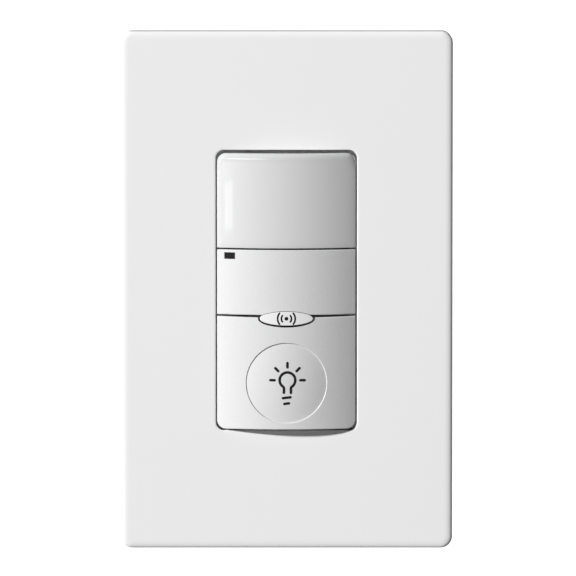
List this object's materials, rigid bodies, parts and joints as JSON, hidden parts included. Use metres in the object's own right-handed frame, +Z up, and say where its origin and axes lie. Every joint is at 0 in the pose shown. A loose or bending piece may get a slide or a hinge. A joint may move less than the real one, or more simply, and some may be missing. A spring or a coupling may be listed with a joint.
{
  "type": "motion sensor light switch",
  "caption": "Wall switch with a bulging face: milky sensor lens on top, pull-off cover, tilting push panel with a bulb symbol, screwless plate, rear housing.",
  "frame": {"origin": "midway between the two box screws, on the wall plane", "axes": "+Z up, +X to the right seen from the room, the face looks along -Y and the box is behind, along +Y"},
  "size_m": [0.0794, 0.0398, 0.1239],
  "materials": {
    "badge_white": "smooth moulded",
    "black_plastic": "matt moulded",
    "blue_plastic": "moulded",
    "board_green": "solder resist over glass fibre",
    "brass": "stamped",
    "can_metal": "drawn can",
    "cap_yellow": "epoxy filled box",
    "clear_epoxy": "clear cast epoxy",
    "copper_winding": "enamelled copper wire",
    "dark_silicon": "polished filter",
    "ferrite": "ground ferrite",
    "fibre_red": "vulcanised fibre",
    "frame_plastic": "fine moulded",
    "glass_tube": "clear tube",
    "green_screw": "green passivated",
    "housing_grey": "fine spark texture",
    "housing_white": "fine moulded",
    "iron": "nickel plated iron",
    "milky_lens": "glossy milky polyethylene",
    "smoked_window": "polished smoked",
    "spring_steel": "bright",
    "varistor_blue": "dipped epoxy",
    "white_face": "smooth moulded, semi-gloss",
    "white_plate": "smooth moulded, satin",
    "zinc_steel": "zinc plated"
  },
  "bodies": {
    "root": {"board_header": "black_plastic", "board_screws": "zinc_steel", "box_screws": "zinc_steel", "choke": "ferrite", "controller_chip": "black_plastic", "film_capacitor": "cap_yellow", "fresnel_lens": "milky_lens", "front_housing": "housing_white", "fuse": "glass_tube", "ground_screw": "green_screw", "header_pins": "brass", "hinge_pins": "spring_steel", "housing_screws": "zinc_steel", "indicator_led": "clear_epoxy", "lens_shroud": "black_plastic", "light_sensor": "clear_epoxy", "line_terminal": "brass", "load_terminal": "brass", "mode_switch_body": "black_plastic", "mounting_strap": "zinc_steel", "neutral_terminal": "zinc_steel", "pir_can": "can_metal", "pir_leads": "spring_steel", "pir_window": "dark_silicon", "plate_screws": "zinc_steel", "plate_subframe": "frame_plastic", "power_board": "board_green", "rear_housing": "housing_grey", "rectifier": "black_plastic", "relay_base": "black_plastic", "relay_bobbin": "black_plastic", "relay_case": "blue_plastic", "relay_contacts": "brass", "relay_winding": "copper_winding", "relay_yoke": "iron", "screw_retainers": "fibre_red", "sensor_board": "board_green", "smoothing_capacitors": "can_metal", "tact_dome": "spring_steel", "tact_switch_body": "black_plastic", "tact_switch_cover": "spring_steel", "terminal_screws": "brass", "trimmer_bodies": "blue_plastic", "varistor": "varistor_blue", "wire_clamps": "zinc_steel"},
    "wall_plate": {"plate_cover": "white_plate"},
    "front_cover": {"access_cover": "white_face", "oval_badge": "badge_white", "led_window": "smoked_window"},
    "press_panel": {"push_panel": "white_face"},
    "switch_plunger": {"tact_plunger": "black_plastic"},
    "time_knob": {"time_dial": "housing_white"},
    "range_knob": {"range_dial": "housing_white"},
    "mode_slide_1": {"mode_slider_1": "housing_white"},
    "mode_slide_2": {"mode_slider_2": "housing_white"},
    "mode_slide_3": {"mode_slider_3": "housing_white"},
    "mode_slide_4": {"mode_slider_4": "housing_white"},
    "relay_flap": {"relay_armature": "iron"}
  },
  "joints": [
    {"name": "wall_plate_pull", "type": "slide", "parent": "root", "child": "wall_plate", "axis": [0, -1, 0], "range_m": [0, 0.03]},
    {"name": "front_cover_pull", "type": "slide", "parent": "root", "child": "front_cover", "axis": [0, -1, 0], "range_m": [0, 0.014]},
    {"name": "press_panel_tilt", "type": "hinge", "parent": "root", "child": "press_panel", "pos_m": [0, -0.0037, -0.0085], "axis": [1, 0, 0], "range_deg": [0, 1.2], "stiffness_Nm_per_rad": 1.3, "springref_deg": -0.57},
    {"name": "switch_plunger_slide", "type": "slide", "parent": "root", "child": "switch_plunger", "axis": [0, 1, 0], "range_m": [0, 0.0003], "deforming": ["tact_dome"]},
    {"name": "time_knob_turn", "type": "hinge", "parent": "root", "child": "time_knob", "pos_m": [-0.0094, 0, 0.0019], "axis": [0, -1, 0], "range_deg": [-135, 135]},
    {"name": "range_knob_turn", "type": "hinge", "parent": "root", "child": "range_knob", "pos_m": [-0.002, 0, 0.0019], "axis": [0, -1, 0], "range_deg": [-135, 135]},
    {"name": "mode_slide_1_slide", "type": "slide", "parent": "root", "child": "mode_slide_1", "axis": [0, 0, 1], "range_m": [0, 0.0016]},
    {"name": "mode_slide_2_slide", "type": "slide", "parent": "root", "child": "mode_slide_2", "axis": [0, 0, 1], "range_m": [0, 0.0016]},
    {"name": "mode_slide_3_slide", "type": "slide", "parent": "root", "child": "mode_slide_3", "axis": [0, 0, 1], "range_m": [0, 0.0016]},
    {"name": "mode_slide_4_slide", "type": "slide", "parent": "root", "child": "mode_slide_4", "axis": [0, 0, 1], "range_m": [0, 0.0016]},
    {"name": "relay_flap_tilt", "type": "hinge", "parent": "root", "child": "relay_flap", "pos_m": [-0.0074, 0.0098, -0.02], "axis": [0, 0, 1], "range_deg": [0, 3.5], "stiffness_Nm_per_rad": 0.008, "springref_deg": -1.72}
  ],
  "couplings": [
    {"joint": "switch_plunger_slide", "follows": "press_panel_tilt", "m_per_rad": 0.0134}
  ]
}
